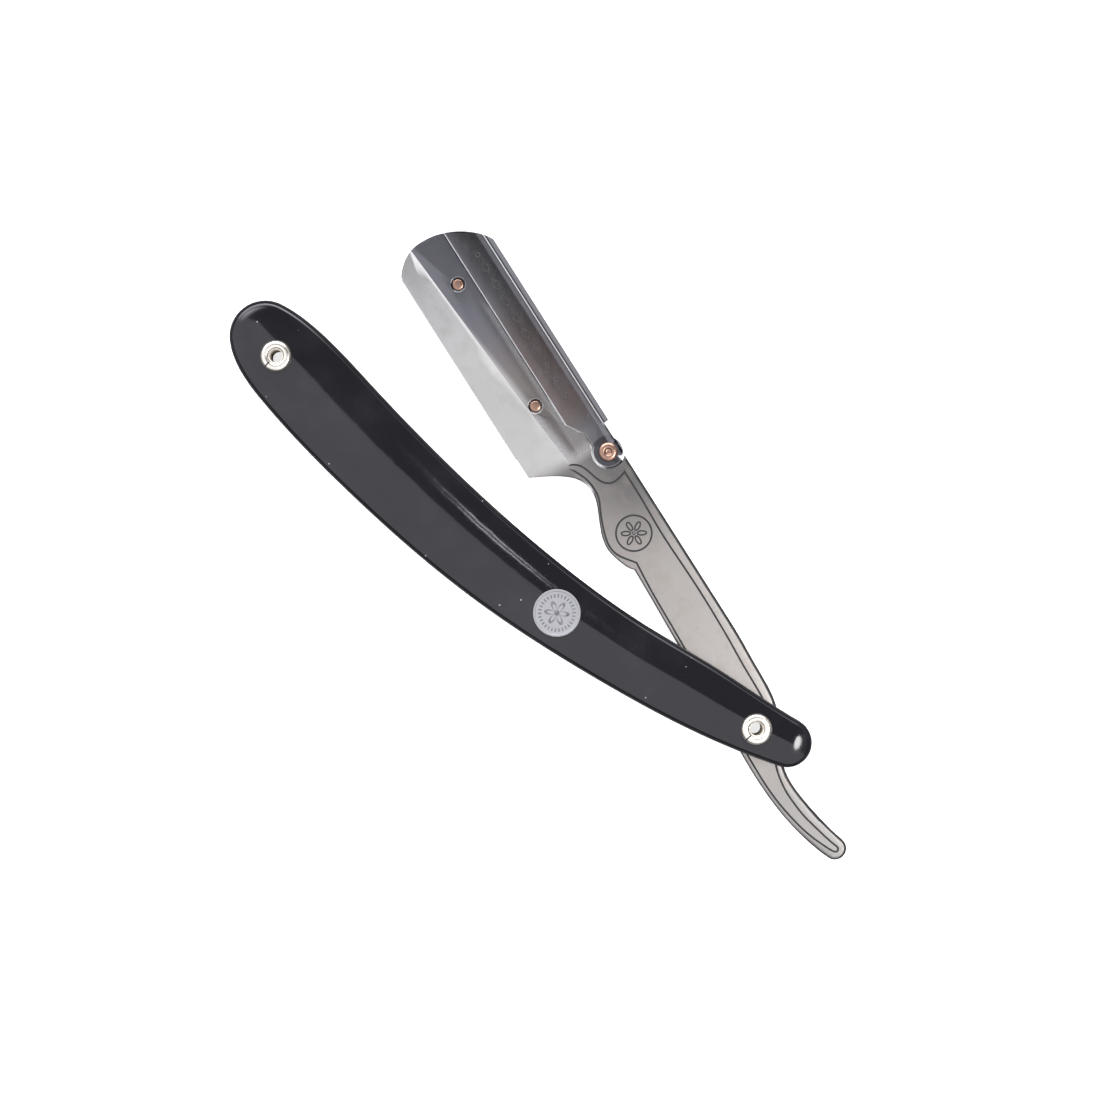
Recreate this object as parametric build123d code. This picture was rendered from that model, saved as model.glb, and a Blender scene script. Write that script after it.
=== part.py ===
from build123d import *
import os
from math import cos, radians, sin, sqrt

# Barber's straight razor that holds half of a double-edge blade, in millimetres.
# Origin: middle of the pivot eyelet's bore, half way through the razor's thickness.
# +X runs from the end eyelet to the pivot, +Y is the side the arm opens to, and +Z leaves the face
# with the badge. The arm and its cover are drawn shut, with the cutting edge along X, and are then
# turned about the pivot to the stored opening.

# ---- arm: tang, head and tail ----
arm_thickness = 4.0
tang_length = 67.0          # pivot to the heel of the head
head_length = 48.0          # heel corner to toe corner, along the cutting edge
edge_drop = 11.5            # cutting edge below the pivot
spine_rise = 8.4            # outside of the fold above the pivot
tang_spine_rise = 7.3       # spine of the tang above the pivot
tail_length = 31.2          # pivot to the end of the tail
tail_tip_radius = 2.3
toe_nose_y = -4.5           # height at which the round toe reaches furthest
toe_corner_setback = 3.7    # furthest point of the toe past the toe corner
toe_spine_setback = 7.2     # furthest point of the toe past the end of the fold
edge_land = 0.12            # leaf thickness left at the cutting edge
grind_toe = 4.8             # width of the bevel at the toe
grind_heel = 8.0            # width of the bevel at the heel
open_angle = 19.7           # stored opening of the arm from the line of the handle

# ---- swing cover: one folded sheet ----
sheet = 1.0
flange_edge_y = 0.45        # free edge of the front flange
flange_neck_y = 2.85        # free edge of the flange beside the ear
flange_neck_run = 3.8       # length of the slope between the two
neck_spine_y = 7.3          # spine edge of the cover beyond the fold
ear_radius = 3.0
pocket_gap = 0.4            # round the ear, in the arm
flange_gap = 0.1            # along the flange
step_gap = 0.4              # behind the heel of the back leaf
slide_gap = 0.03            # between sheet faces that slide
hinge_gap = 0.06            # radial, round the cover rivet
fold_gap = 0.1              # spine edge of the leaf, short of the bend's centre line

# ---- cover rivet, locating pins and half blade ----
rivet_from_heel = 4.1       # towards the pivot
rivet_y = 4.85
fold_end_to_rivet = 5.4     # square end of the fold, short of the rivet
rivet_radius = 1.0
rivet_head_radius = 1.95
rivet_head_height = 0.6
rivet_dimple_radius = 0.85
rivet_tail_radius = 1.8
rivet_tail_height = 0.4
pin_radius = 1.15
pin_recess = 0.35
pin_recess_radius = 1.4
pin_spacing = 29.0
pin_y = -2.6
blade_thickness = 0.1
blade_length = 43.0
blade_towards_toe = 2.0     # middle of the blade past the middle of the cutting edge
blade_exposure = 0.2        # cutting edge beyond the leaves
blade_width = 11.0
blade_corner = 2.2          # square cut-outs at the ends of its back
blade_hole_gap = 0.05
seat_gap = 0.1              # round the blade in its seat

# ---- handle: two scales, eyelets, washers and spacer ----
scale_thickness = 2.6
scale_round = 1.5           # rounding of the outer rim
washer_thickness = 0.4
washer_radius = 3.6
end_gap = 3.25              # toe to the centre of the end eyelet
bore_radius = 1.3           # through both eyelets
eyelet_wall = 0.3
rim_radius = 3.15
rim_height = 0.75
rim_crest_radius = 2.1      # where the rolled rim is highest
rim_seam = 0.28             # split in the rolled rim
rim_seam_angle = -97.0
pivot_gap = 0.05            # radial, between the arm and the eyelet
spacer_radius = 2.6
pivot_cap_radius = 5.0
pivot_cap_x = 6.6
pivot_cap_y = 1.65
end_cap_radius = 7.25
end_cap_past = 4.2          # centre of the end cap beyond the end eyelet
end_cap_y = 1.8
badge_radius = 4.8
badge_thickness = 0.8
badge_recess = 0.5
badge_rim = 0.45            # width of the raised rim
badge_dish = 0.12           # face below the rim
badge_x = -45.9
badge_y = -6.15

# ---- worked out from those ----
half_arm = arm_thickness / 2
slot_half = half_arm + washer_thickness
scale_top = slot_half + scale_thickness
barrel_radius = bore_radius + eyelet_wall
toe_tip_x = -tang_length - head_length - toe_corner_setback
heel_x = -tang_length
rivet_x = heel_x + rivet_from_heel
blade_x = heel_x - head_length / 2 - blade_towards_toe
pins_x = (blade_x - pin_spacing / 2, blade_x + pin_spacing / 2)
blade_edge_y = -edge_drop - blade_exposure
span = -toe_tip_x + end_gap                  # pivot eyelet to end eyelet
leaf_half = half_arm - sheet - slide_gap     # half thickness of the arm inside the fold
fold_centre_y = spine_rise - half_arm
fold_end_x = rivet_x - fold_end_to_rivet
leaf_top_y = fold_centre_y - fold_gap
pocket_radius = ear_radius + pocket_gap
far = 40.0                                   # reach of cutting shapes beyond the part


def slab(face, low, high):
    """Solid on a flat outline, from one height to another."""
    return Pos(0, 0, low) * extrude(face, high - low)


def rectangle(x0, x1, y0, y1):
    """Rectangle between two corners."""
    return Pos((x0 + x1) / 2, (y0 + y1) / 2) * Rectangle(x1 - x0, y1 - y0)


def disc(x, y, radius):
    """Filled circle at a point."""
    return Pos(x, y) * Circle(radius)


def rod(x, y, radius, low, high):
    """Round bar along Z."""
    return slab(disc(x, y, radius), low, high)


def turned(points):
    """Solid of revolution about Z from radius and height pairs."""
    outline = [Vector(radius, 0, height) for radius, height in points]
    return revolve(make_face(Polyline(*outline, close=True)), Axis.Z, 360)


def opened(solid):
    """The arm group, turned from shut to the stored opening."""
    return Rot(0, 0, -open_angle) * solid


def head_region():
    """Everything inside the round toe, open towards the tang."""
    nose = (toe_tip_x, toe_nose_y)
    toe_corner = (toe_tip_x + toe_corner_setback, -edge_drop)
    toe_spine = (toe_tip_x + toe_spine_setback, spine_rise)
    lower = TangentArc(nose, toe_corner, tangent=(0, -1))
    upper = TangentArc(nose, toe_spine, tangent=(0, 1))
    rest = Polyline(toe_corner, (far, -edge_drop), (far, spine_rise), toe_spine)
    return make_face([lower, upper, rest])


def arm_outline():
    """Silhouette of the tang and tail, with a plain block where the head is."""
    notch_x = heel_x + 8.7
    belly_x = heel_x + 20.8
    waist_x = heel_x + 27.0
    tip_y = 0.5
    tip_x = tail_length - tail_tip_radius
    notch = Spline(
        (heel_x, -edge_drop), (heel_x + 3.0, -6.0), (heel_x + 5.5, -3.25), (notch_x, -2.1),
        (notch_x + 4.3, -3.2), (belly_x - 3.6, -5.1), (belly_x, -5.75), (waist_x - 2.6, -4.9),
        (waist_x, -3.4),
        tangents=[(0.42, 1.0), (1.0, 1.1)])
    lower_tail_end = (tip_x + tail_tip_radius * sin(radians(25)), tip_y - tail_tip_radius * cos(radians(25)))
    upper_tail_end = (tip_x - tail_tip_radius * sin(radians(18)), tip_y + tail_tip_radius * cos(radians(18)))
    under = Spline(
        (waist_x, -3.4), (-22.0, -4.15), (0.0, -5.0), (9.0, -5.3), (17.0, -4.85), (24.0, -3.55),
        lower_tail_end,
        tangents=[(1.0, -0.03), (cos(radians(25)), sin(radians(25)))])
    tip = ThreePointArc(lower_tail_end, (tail_length, tip_y), upper_tail_end)
    over = Spline(
        upper_tail_end, (22.0, 1.2), (16.0, 0.3), (10.5, 0.4), (5.0, 2.7), (-2.0, 6.05), (-10.0, 6.85),
        (-22.0, tang_spine_rise),
        tangents=[(-cos(radians(18)), -sin(radians(18))), (-1.0, 0.0)])
    back = Polyline((-22.0, tang_spine_rise), (toe_tip_x, tang_spine_rise), (toe_tip_x, -edge_drop),
                    (heel_x, -edge_drop))
    return make_face([notch, under, tip, over, back])


def flange_region(gap):
    """Front flange, or with a gap the pocket in the arm that it lies in."""
    slope_end = fold_end_x
    slope_start = fold_end_x - flange_neck_run
    ear = ear_radius if gap == 0 else pocket_radius
    edge = flange_edge_y - gap
    neck = flange_neck_y - gap
    top = neck_spine_y if gap == 0 else spine_rise + far
    strip = rectangle(toe_tip_x - far, slope_start, edge, spine_rise + far)
    slope = make_face(Polyline((slope_start, edge), (slope_end, neck), (slope_end, spine_rise + far),
                               (slope_start, spine_rise + far), close=True))
    neck_part = rectangle(slope_end, rivet_x, neck, top)
    return strip + slope + neck_part + disc(rivet_x, rivet_y, ear)


def back_region(gap):
    """Back leaf with its ear, or with a gap the step in the arm that it lies in."""
    ear = ear_radius if gap == 0 else pocket_radius
    top = neck_spine_y if gap == 0 else spine_rise + far
    leaf = rectangle(toe_tip_x - far, fold_end_x, -edge_drop - gap, spine_rise + far)
    heel = rectangle(fold_end_x, heel_x + gap, -edge_drop - gap, top)
    neck = rectangle(heel_x + gap, rivet_x, rivet_y - ear, top)
    return leaf + heel + neck + disc(rivet_x, rivet_y, ear)


def bevel_cut(side, edge_z):
    """Wedge that grinds a leaf down to its cutting edge, wider at the heel than at the toe."""
    outside = half_arm + 1.0

    def section(x, width):
        grind_y = -edge_drop + width
        slope = (half_arm - edge_z) / width
        low_y = -edge_drop - 2.0
        low_z = edge_z - slope * 2.0
        high_y = grind_y + 1.0 / slope
        points = [(x, low_y, side * low_z), (x, high_y, side * outside), (x, low_y, side * outside)]
        return make_face(Polyline(*points, close=True))

    past = 6.0
    per_mm = (grind_heel - grind_toe) / head_length
    heel_face = section(heel_x + past, grind_heel + per_mm * past)
    toe_face = section(toe_tip_x - past, grind_toe - per_mm * (past + toe_corner_setback))
    return Solid.make_loft([heel_face.wire(), toe_face.wire()], ruled=True)


def blade_arm():
    """Tang, tail and front leaf in one piece of steel."""
    body = slab(arm_outline(), -half_arm, half_arm)
    body -= slab(flange_region(flange_gap), leaf_half, far)
    body -= slab(back_region(step_gap), -far, -leaf_half)
    fold_space = flange_region(flange_gap) & rectangle(-span - far, rivet_x + far, leaf_top_y, far)
    body -= slab(fold_space, -far, far)
    head = slab(head_region(), -far, far)
    beyond_head = slab(rectangle(heel_x, far, -far, far), -far, far)
    body &= head + beyond_head
    body -= bevel_cut(1, -leaf_half + blade_thickness + edge_land)
    seat_half = blade_length / 2 + seat_gap
    seat_top = blade_edge_y + blade_width + seat_gap
    seat = rectangle(blade_x - seat_half, blade_x + seat_half, -edge_drop - far, seat_top)
    body -= slab(seat, -far, -leaf_half + blade_thickness)
    for x in pins_x:
        body -= rod(x, pin_y, pin_radius, -far, far)
        body -= rod(x, pin_y, pin_recess_radius, half_arm - pin_recess, far)
    body -= rod(rivet_x, rivet_y, rivet_radius, -far, far)
    body -= rod(0, 0, barrel_radius + pivot_gap, -far, far)
    return body


def swing_cover():
    """Front flange, rolled spine and back leaf, with an ear each side of the arm."""
    sheet_in = half_arm - sheet
    ring = Circle(half_arm) - Circle(sheet_in)
    bend = ring & rectangle(0, far, -far, far)
    bend = Plane((toe_tip_x, fold_centre_y, 0), x_dir=(0, 1, 0), z_dir=(1, 0, 0)) * bend
    bend = extrude(bend, fold_end_x - toe_tip_x, dir=(1, 0, 0))
    below_bend = rectangle(-span - far, far, -far, fold_centre_y)
    beyond_fold = rectangle(fold_end_x, far, -far, far)
    front = slab(flange_region(0) & (below_bend + beyond_fold), sheet_in, half_arm)
    back = slab(back_region(0) & (below_bend + beyond_fold), -half_arm, -sheet_in)
    cover = front + bend + back
    cover &= slab(head_region(), -far, far)
    cover -= bevel_cut(-1, sheet_in + edge_land)
    cover -= rod(rivet_x, rivet_y, rivet_radius + hinge_gap, -far, far)
    return cover


def cover_rivet():
    """Copper rivet: domed head with a hollow, shank, and a spread tail behind."""
    seat = half_arm + slide_gap
    r = rivet_head_radius
    h = rivet_head_height
    profile = [(0, -seat - rivet_tail_height), (rivet_tail_radius * 0.75, -seat - rivet_tail_height),
               (rivet_tail_radius, -seat - rivet_tail_height * 0.4), (rivet_tail_radius, -seat),
               (rivet_radius, -seat), (rivet_radius, seat), (r, seat), (r, seat + h * 0.35),
               (r * 0.86, seat + h * 0.75), (r * 0.62, seat + h), (rivet_dimple_radius * 1.15, seat + h),
               (rivet_dimple_radius * 0.7, seat + h * 0.55), (0, seat + h * 0.45)]
    return Pos(rivet_x, rivet_y) * turned(profile)


def locating_pin(x):
    """Copper pin pressed in the leaf: it fills the holes of the half blade."""
    return rod(x, pin_y, pin_radius, -leaf_half, half_arm - pin_recess)


def half_blade():
    """Half of a double-edge blade, with its two holes over the pins."""
    half = blade_length / 2
    top = blade_edge_y + blade_width
    waist = rectangle(blade_x - half + blade_corner, blade_x + half - blade_corner, blade_edge_y, top)
    shape = waist + rectangle(blade_x - half, blade_x + half, blade_edge_y, top - blade_corner)
    for x in pins_x:
        shape -= disc(x, pin_y, pin_radius + blade_hole_gap)
    return slab(shape, -leaf_half, -leaf_half + blade_thickness)


def scale_outline():
    """Handle side: two round caps joined by a hollow upper edge and a full lower edge."""

    def along(share):
        """X at a share of the distance between the eyelets."""
        return -span * share

    def on_cap(cx, cy, radius, angle):
        return (cx + radius * cos(radians(angle)), cy + radius * sin(radians(angle)))

    def heading(angle):
        """Direction of travel round a cap, anticlockwise."""
        return (-sin(radians(angle)), cos(radians(angle)))

    end_x = -span - end_cap_past
    pivot_top, pivot_low = 98.0, -70.5
    end_top, end_low = 101.0, 226.0
    top_start = on_cap(pivot_cap_x, pivot_cap_y, pivot_cap_radius, pivot_top)
    top_end = on_cap(end_x, end_cap_y, end_cap_radius, end_top)
    low_start = on_cap(end_x, end_cap_y, end_cap_radius, end_low)
    low_end = on_cap(pivot_cap_x, pivot_cap_y, pivot_cap_radius, pivot_low)
    upper = Spline(
        top_start, (along(0.11), 4.85), (along(0.24), 2.95), (along(0.41), 2.1), (along(0.64), 3.75),
        (along(0.86), 7.45), (along(0.975), 9.35), top_end,
        tangents=[heading(pivot_top), heading(end_top)])
    lower = Spline(
        low_start, (along(0.967), -9.05), (along(0.77), -12.65), (along(0.51), -14.25),
        (along(0.25), -11.65), (along(0.08), -8.15), low_end,
        tangents=[heading(end_low), heading(pivot_low)])
    end_cap = ThreePointArc(top_end, on_cap(end_x, end_cap_y, end_cap_radius, 160.0), low_start)
    pivot_cap = ThreePointArc(low_end, on_cap(pivot_cap_x, pivot_cap_y, pivot_cap_radius, 10.0), top_start)
    return make_face([upper, end_cap, lower, pivot_cap])


def scale(badge):
    """One scale, as it lies on the badge side."""
    body = slab(scale_outline(), slot_half, scale_top)
    body = fillet(body.edges().group_by(Axis.Z)[-1], scale_round)
    for x in (0, -span):
        body -= rod(x, 0, barrel_radius, -far, far)
    if badge:
        body -= rod(badge_x, badge_y, badge_radius, scale_top - badge_recess, far)
    return body


def rim_profile(inner, base, crest):
    """Section of a rolled rim that stands on a face, from its outer edge inwards."""
    width = rim_radius - rim_crest_radius
    rise = crest - base
    outer = [(rim_radius - width * (1 - cos(radians(a))), base + rise * (0.25 + 0.75 * sin(radians(a))))
             for a in (0, 30, 60, 90)]
    throat = rim_crest_radius - inner
    inside = [(rim_crest_radius - throat * sin(radians(a)), crest - rise * 0.8 * (1 - cos(radians(a))))
              for a in (30, 60, 90)]
    return [(rim_radius, base)] + outer + inside


def eyelet(x):
    """Hollow rivet: a barrel through both scales, with a rolled rim in front and a lip behind."""
    top = scale_top + rim_height
    lip_base = scale_top + rim_height * 0.55
    lip = barrel_radius + 0.45
    profile = rim_profile(bore_radius, scale_top, top)
    profile += [(bore_radius, -lip_base - 0.2), (lip, -lip_base - 0.2), (lip, -lip_base),
                (barrel_radius, -lip_base), (barrel_radius, scale_top)]
    body = Pos(x, 0) * turned(profile)
    seam_length = rim_radius - bore_radius + 0.5
    seam = Pos(bore_radius + seam_length / 2 - 0.2, 0, scale_top + far / 2) * Box(seam_length, rim_seam, far)
    return body - Pos(x, 0) * Rot(0, 0, rim_seam_angle) * seam


def eyelet_ring(x):
    """Washer under the lip behind: the barrel is spread over it."""
    top = rim_height * 0.55
    profile = [(barrel_radius, 0), (rim_radius, 0), (rim_radius, top * 0.4), (rim_radius - 0.35, top),
               (barrel_radius, top)]
    return Pos(x, 0) * Rot(180, 0, 0) * Pos(0, 0, scale_top) * turned(profile)


def ring(x, inner, outer, low, high):
    """Plain washer or tube along Z."""
    return slab(disc(x, 0, outer) - disc(x, 0, inner), low, high)


def badge():
    """Metal disc set in the front scale, with a raised rim."""
    base = scale_top - badge_recess
    top = base + badge_thickness
    body = rod(badge_x, badge_y, badge_radius, base, top)
    return body - rod(badge_x, badge_y, badge_radius - badge_rim, top - badge_dish, top + 1)


def pieces():
    """Every node of the razor by name, in the stored pose."""
    washer_bore = barrel_radius + pivot_gap
    back_scale = mirror(scale(badge=False), Plane.XY)
    return {
        "front_scale": scale(badge=True),
        "back_scale": back_scale,
        "badge": badge(),
        "pivot_eyelet": eyelet(0),
        "pivot_eyelet_ring": eyelet_ring(0),
        "end_eyelet": eyelet(-span),
        "end_eyelet_ring": eyelet_ring(-span),
        "end_spacer": ring(-span, barrel_radius, spacer_radius, -slot_half, slot_half),
        "pivot_washer_front": ring(0, washer_bore, washer_radius, half_arm, slot_half),
        "pivot_washer_back": ring(0, washer_bore, washer_radius, -slot_half, -half_arm),
        "blade_arm": opened(blade_arm()),
        "swing_cover": opened(swing_cover()),
        "cover_rivet": opened(cover_rivet()),
        "locating_pin_toe": opened(locating_pin(pins_x[0])),
        "locating_pin_heel": opened(locating_pin(pins_x[1])),
        "half_blade": opened(half_blade()),
    }


os.makedirs("parts", exist_ok=True)
for name, solid in pieces().items():
    export_step(solid, f"parts/{name}.step")
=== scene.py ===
import math

import bmesh
import bpy
import numpy as np
from bpy.props import FloatProperty, FloatVectorProperty, IntProperty, PointerProperty
from mathutils import Matrix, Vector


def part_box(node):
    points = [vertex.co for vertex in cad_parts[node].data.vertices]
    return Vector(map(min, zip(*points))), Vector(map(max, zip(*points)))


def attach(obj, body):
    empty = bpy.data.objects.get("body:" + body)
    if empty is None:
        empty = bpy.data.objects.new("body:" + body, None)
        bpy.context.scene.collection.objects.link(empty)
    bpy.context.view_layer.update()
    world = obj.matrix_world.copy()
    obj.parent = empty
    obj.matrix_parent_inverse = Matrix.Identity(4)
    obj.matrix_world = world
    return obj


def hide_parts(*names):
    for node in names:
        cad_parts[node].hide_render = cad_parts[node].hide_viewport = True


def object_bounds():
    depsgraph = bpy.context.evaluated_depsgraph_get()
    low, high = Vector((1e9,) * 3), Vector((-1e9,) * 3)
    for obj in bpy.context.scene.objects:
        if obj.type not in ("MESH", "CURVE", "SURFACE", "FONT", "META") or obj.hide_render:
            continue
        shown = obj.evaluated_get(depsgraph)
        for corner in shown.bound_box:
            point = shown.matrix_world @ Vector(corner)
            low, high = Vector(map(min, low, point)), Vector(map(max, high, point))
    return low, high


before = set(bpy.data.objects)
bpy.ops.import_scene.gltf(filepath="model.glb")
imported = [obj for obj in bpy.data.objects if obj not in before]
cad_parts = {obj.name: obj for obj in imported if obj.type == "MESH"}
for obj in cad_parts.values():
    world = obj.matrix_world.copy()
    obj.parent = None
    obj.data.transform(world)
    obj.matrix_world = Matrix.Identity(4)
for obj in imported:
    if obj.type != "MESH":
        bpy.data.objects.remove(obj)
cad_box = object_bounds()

bl_info = {
    "name": "Barber's razor",
    "version": (1, 0, 0),
    "blender": (4, 5, 0),
    "location": "3D View > Sidebar > Razor",
    "description": "A folding razor for half blades, piece by piece round its measured frame",
    "category": "Add Mesh",
}

MM = 0.001
OPENING = math.radians(19.7)      # the arm is drawn shut and turned by this about the pivot
HALF_ARM = 2.0                    # half the thickness of the arm, in millimetres
SLOT_HALF = 2.4                   # half the room between the scales
SCALE_TOP = 5.0                   # outer face of a scale
SHEET_SEAT = 2.03                 # underside of the rivet's head
BADGE_SEAT = 4.5                  # floor of the badge's seat
RING_FOOT = -5.405                # lowest face of the rings behind
EYELET_HOLE = 1.6                 # radius of the holes that the eyelets pass through
EYELET_BORE = 1.3                 # radius of the bore of an eyelet
PAST = 9.0                        # a cutting tool's reach, past every outer face
CUT_LIFT = 0.03                   # rise of an engraving tool's middle above the face it cuts
SHARP_FOLD = 40                   # an edge that folds more than this, in degrees, is rounded
MERGE = 1e-6                      # points nearer than this, in metres, are one


# ---------------- lines and surfaces

def smooth_line(points, step=None, count=None, start=None, end=None):
    """Cubic spline through points with the chord length as its parameter, sampled evenly.

    start and end are unit headings at its ends. Without them the line ends straight."""
    p = np.asarray(points, float)
    t = np.r_[0.0, np.cumsum(np.linalg.norm(np.diff(p, axis=0), axis=1))]
    h = np.diff(t)
    slope = np.diff(p, axis=0) / h[:, None]
    n = len(p)
    a = np.zeros((n, n))
    b = np.zeros_like(p)
    i = np.arange(1, n - 1)
    a[i, i - 1] = h[:-1]
    a[i, i] = 2 * (h[:-1] + h[1:])
    a[i, i + 1] = h[1:]
    b[1:-1] = 6 * np.diff(slope, axis=0)
    a[0, 0] = a[-1, -1] = 1
    if start is not None:
        a[0, :2] = 2 * h[0], h[0]
        b[0] = 6 * (slope[0] - np.asarray(start, float))
    if end is not None:
        a[-1, -2:] = h[-1], 2 * h[-1]
        b[-1] = 6 * (np.asarray(end, float) - slope[-1])
    m = np.linalg.solve(a, b)
    count = count or max(2, int(round(t[-1] / step)) + 1)
    s = np.linspace(0, t[-1], count)
    k = np.clip(np.searchsorted(t, s, side="right") - 1, 0, n - 2)
    u, v, w = (s - t[k])[:, None], (t[k + 1] - s)[:, None], h[k][:, None]
    return ((m[k] * v ** 3 + m[k + 1] * u ** 3) / (6 * w) + (p[k] / w - m[k] * w / 6) * v
            + (p[k + 1] / w - m[k + 1] * w / 6) * u)


def eased(points, radius, steps=4):
    """Closed outline whose corners are replaced by quadratic curves that start radius before each."""
    p = np.asarray(points, float)
    back = np.roll(p, 1, 0) - p
    ahead = np.roll(p, -1, 0) - p
    reach_back = np.linalg.norm(back, axis=1, keepdims=True)
    reach_ahead = np.linalg.norm(ahead, axis=1, keepdims=True)
    a = p + back / reach_back * np.minimum(radius, reach_back * 0.45)
    b = p + ahead / reach_ahead * np.minimum(radius, reach_ahead * 0.45)
    t = np.linspace(0, 1, steps + 1)[None, :, None]
    curve = (1 - t) ** 2 * a[:, None] + 2 * t * (1 - t) * p[:, None] + t ** 2 * b[:, None]
    return curve.reshape(-1, 2)


def arc(centre, radius, first, last, count):
    """Points round a circle from one angle in degrees to another."""
    a = np.radians(np.linspace(first, last, count))
    return np.stack([centre[0] + radius * np.cos(a), centre[1] + radius * np.sin(a)], -1)


def linked(name, data):
    """New object with this data, in the scene."""
    made = bpy.data.objects.new(name, data)
    bpy.context.scene.collection.objects.link(made)
    return made


class Skin:
    """The surface of one piece, gathered from grids of points in millimetres."""

    def __init__(self):
        self.points, self.quads, self.count = [], [], 0

    def grid(self, p, around=False, across=False):
        """Adds p[i, j], with a face between each four neighbours. around and across close it on itself."""
        rows, columns = p.shape[:2]
        index = np.arange(rows * columns).reshape(rows, columns) + self.count
        if around:
            index = np.vstack([index, index[:1]])
        if across:
            index = np.hstack([index, index[:, :1]])
        corners = index[:-1, :-1], index[1:, :-1], index[1:, 1:], index[:-1, 1:]
        self.quads.append(np.stack(corners, -1).reshape(-1, 4))
        self.points.append(p.reshape(-1, 3))
        self.count += rows * columns
        return self

    def opened(self):
        """Turns the points from the shut razor to the stored opening of the arm."""
        c, s = math.cos(OPENING), math.sin(OPENING)
        turn = np.array([[c, -s, 0], [s, c, 0], [0, 0, 1]])
        self.points = [p @ turn for p in self.points]
        return self

    def make(self, name, material):
        """The finished object: seams and poles merged, faces outwards, in metres."""
        mesh = bpy.data.meshes.new(name)
        points = np.concatenate(self.points) * MM
        quads = np.concatenate(self.quads)
        mesh.from_pydata(points, (), quads.tolist())
        closed = bmesh.new()
        closed.from_mesh(mesh)
        bmesh.ops.remove_doubles(closed, verts=closed.verts, dist=MERGE)
        bmesh.ops.dissolve_degenerate(closed, edges=closed.edges, dist=MERGE)
        bmesh.ops.recalc_face_normals(closed, faces=closed.faces)
        closed.to_mesh(mesh)
        closed.free()
        mesh.materials.append(material)
        return linked(name, mesh)


def turned(profile, centre=(0, 0), steps=96, closed=True):
    """Profile of radius and height pairs carried round a vertical axis: (r cos a, r sin a, h)."""
    p = np.asarray(profile, float)
    a = np.linspace(0, 2 * math.pi, steps, endpoint=False)
    grid = np.stack([centre[0] + np.outer(np.cos(a), p[:, 0]), centre[1] + np.outer(np.sin(a), p[:, 0]),
                     np.broadcast_to(p[:, 1], (steps, len(p)))], -1)
    return Skin().grid(grid, around=True, across=closed)


def bar(path, radius, height, looped=False, sides=10):
    """Round bar carried along a flat path: path + radius (side cos b, up sin b), mitred at its corners.

    An open bar draws in to a point at both ends."""
    p = np.asarray(path, float)
    if looped:
        ahead = np.roll(p, -1, 0) - p
        behind = p - np.roll(p, 1, 0)
    else:
        step = np.diff(p, axis=0)
        ahead = np.vstack([step, step[-1:]])
        behind = np.vstack([step[:1], step])
    ahead /= np.linalg.norm(ahead, axis=1, keepdims=True)
    behind /= np.linalg.norm(behind, axis=1, keepdims=True)
    along = ahead + behind
    along /= np.linalg.norm(along, axis=1, keepdims=True)
    mitre = 1 / np.clip((along * ahead).sum(1), 0.4, 1)
    side = np.stack([-along[:, 1], along[:, 0]], -1) * mitre[:, None]
    size = np.full(len(p), radius)
    if not looped:
        size[[0, -1]] = 0
        size[[1, -2]] *= 0.7
    b = np.linspace(0, 2 * math.pi, sides, endpoint=False)
    flat = p[:, None] + side[:, None] * (size[:, None] * np.cos(b))[..., None]
    tall = height + size[:, None] * np.sin(b)
    return np.concatenate([flat, tall[..., None]], -1)


def bars(name, runs, material):
    """One cutting tool of several bars on the arm, each given as path, radius, height and looped."""
    skin = Skin()
    for path, radius, height, looped in runs:
        skin.grid(bar(path, radius, height, looped), around=looped, across=True)
    return skin.opened().make(name, material)


# ---------------- finishing a piece

def settle(made):
    """Puts the result of the piece's modifiers into its mesh."""
    bpy.context.view_layer.update()
    graph = bpy.context.evaluated_depsgraph_get()
    mesh = bpy.data.meshes.new_from_object(made.evaluated_get(graph), preserve_all_data_layers=True,
                                           depsgraph=graph)
    made.modifiers.clear()
    made.data = mesh
    mesh.name = made.name
    return made


def cut(made, tool):
    """Takes the tool's room out of the piece, and leaves the tool's finish on the cut faces."""
    way = made.modifiers.new("cut", "BOOLEAN")
    way.operation = "DIFFERENCE"
    way.solver = "MANIFOLD"
    way.material_mode = "TRANSFER"
    way.object = tool
    settle(made)
    bpy.data.objects.remove(tool)
    return made


def shade(made, angle, weighted=False):
    """Smooth shading with folds over angle degrees kept crisp, and large faces kept flat if weighted."""
    mesh = made.data
    mesh.polygons.foreach_set("use_smooth", np.ones(len(mesh.polygons), bool))
    mesh.set_sharp_from_angle(angle=math.radians(angle))
    if weighted:
        way = made.modifiers.new("flats", "WEIGHTED_NORMAL")
        way.keep_sharp = True
        way.weight = 100
        settle(made)
    return made


def split_faces(made):
    """Divides the piece's large faces into triangles."""
    way = made.modifiers.new("triangles", "TRIANGULATE")
    way.quad_method = "BEAUTY"
    way.ngon_method = "BEAUTY"
    way.min_vertices = 5
    return settle(made)


def merged_copy(node, name, material):
    """Copy of a frame node with its doubles merged and its flat faces made whole."""
    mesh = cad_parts[node].data.copy()
    mesh.name = name
    for extra in ("custom_normal", "sharp_edge", "sharp_face"):
        if extra in mesh.attributes:
            mesh.attributes.remove(mesh.attributes[extra])
    whole = bmesh.new()
    whole.from_mesh(mesh)
    bmesh.ops.remove_doubles(whole, verts=whole.verts, dist=MERGE)
    bmesh.ops.dissolve_limit(whole, angle_limit=math.radians(0.4), verts=whole.verts, edges=whole.edges)
    whole.to_mesh(mesh)
    whole.free()
    mesh.materials.clear()
    mesh.materials.append(material)
    return linked(name, mesh)


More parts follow.
